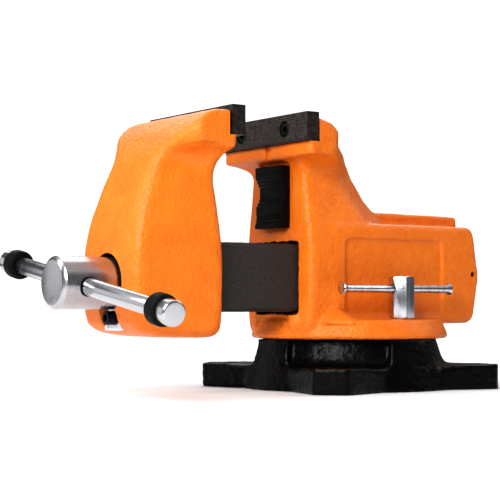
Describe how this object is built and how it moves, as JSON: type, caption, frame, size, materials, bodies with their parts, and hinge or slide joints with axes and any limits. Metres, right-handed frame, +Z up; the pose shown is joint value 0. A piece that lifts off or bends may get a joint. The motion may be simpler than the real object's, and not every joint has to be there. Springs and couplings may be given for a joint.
{
  "type": "bench vise",
  "caption": "Swivel-base bench vise with serrated jaw inserts, pipe jaws, channel-type slide bar, screw with sliding tommy bar, and T-bar swivel locks.",
  "frame": {"origin": "on the swivel axis, in the plane of the bench under the base", "axes": "+Z up along the swivel axis; +Y from the handle to the tail, along the screw; +X the vise's right-hand side"},
  "size_m": [0.2422, 0.3656, 0.2075],
  "materials": {
    "base_paint": "gloss black paint over rough cast iron",
    "orange_paint": "orange powder coat over cast iron, satin",
    "cast_bar": "bare cast surface, oiled, dark grey",
    "insert_steel": "hardened steel, serrated face, bright worn edges",
    "black_oxide": "black oxide, satin",
    "pipe_jaw_black": "black oxide, satin, finely cast",
    "polished_steel": "polished and plated steel",
    "chrome": "bright chrome plate",
    "zinc_plate": "bright zinc plate with drawing marks",
    "rubber": "black moulded rubber",
    "bronze": "machined bronze",
    "nut_bronze": "machined bronze",
    "cover_black": "black painted steel, satin"
  },
  "bodies": {
    "base": {"swivel_base": "base_paint"},
    "body": {"body_casting": "orange_paint", "static_jaw_insert": "insert_steel", "static_insert_screw_right": "black_oxide", "static_insert_screw_left": "black_oxide", "static_pipe_jaw": "pipe_jaw_black", "spindle_nut": "nut_bronze", "nut_bolt": "black_oxide", "tail_cover": "cover_black", "tail_pin_right": "black_oxide", "tail_pin_left": "black_oxide", "lock_bolt_right": "zinc_plate", "lock_bolt_left": "zinc_plate"},
    "jaw": {"front_jaw": "orange_paint", "slide_bar": "cast_bar", "front_jaw_insert": "insert_steel", "front_insert_screw_right": "black_oxide", "front_insert_screw_left": "black_oxide", "front_pipe_jaw": "pipe_jaw_black", "spindle_retainer": "zinc_plate", "retainer_screw": "black_oxide", "thrust_washer": "bronze"},
    "screw": {"spindle": "polished_steel"},
    "handle": {"handle_bar": "chrome", "handle_cap_right": "chrome", "handle_cap_left": "chrome", "handle_bumper_right": "rubber", "handle_bumper_left": "rubber"},
    "lock_right": {"lock_nut_right": "zinc_plate"},
    "lock_handle_right": {"lock_bar_right": "zinc_plate"},
    "lock_left": {"lock_nut_left": "zinc_plate"},
    "lock_handle_left": {"lock_bar_left": "zinc_plate"}
  },
  "joints": [
    {"name": "swivel", "type": "hinge", "parent": "base", "child": "body", "pos_m": [0, 0, 0.0387], "axis": [0, 0, 1], "continuous": true},
    {"name": "jaw_slide", "type": "slide", "parent": "body", "child": "jaw", "axis": [0, 1, 0], "range_m": [-0.0601, 0.0537]},
    {"name": "spindle_spin", "type": "hinge", "parent": "jaw", "child": "screw", "pos_m": [0, -0.24, 0.08], "axis": [0, 1, 0], "range_deg": [-4320, 3859]},
    {"name": "handle_slide", "type": "slide", "parent": "screw", "child": "handle", "axis": [0.9871, 0, -0.1599], "range_m": [-0.0894, 0.0692]},
    {"name": "lock_nut_turn_right", "type": "hinge", "parent": "body", "child": "lock_right", "pos_m": [0.058, 0.005, 0.07], "axis": [0, 0, 1], "range_deg": [-8, 8]},
    {"name": "lock_bar_slide_right", "type": "slide", "parent": "lock_right", "child": "lock_handle_right", "axis": [0, -1, 0], "range_m": [-0.043, 0.0345]},
    {"name": "lock_nut_turn_left", "type": "hinge", "parent": "body", "child": "lock_left", "pos_m": [-0.058, 0.005, 0.07], "axis": [0, 0, 1], "range_deg": [-8, 8]},
    {"name": "lock_bar_slide_left", "type": "slide", "parent": "lock_left", "child": "lock_handle_left", "axis": [0, 1, 0], "range_m": [-0.0345, 0.043]}
  ],
  "couplings": [
    {"joint": "jaw_slide", "follows": "spindle_spin", "m_per_rad": 0.00079577}
  ]
}
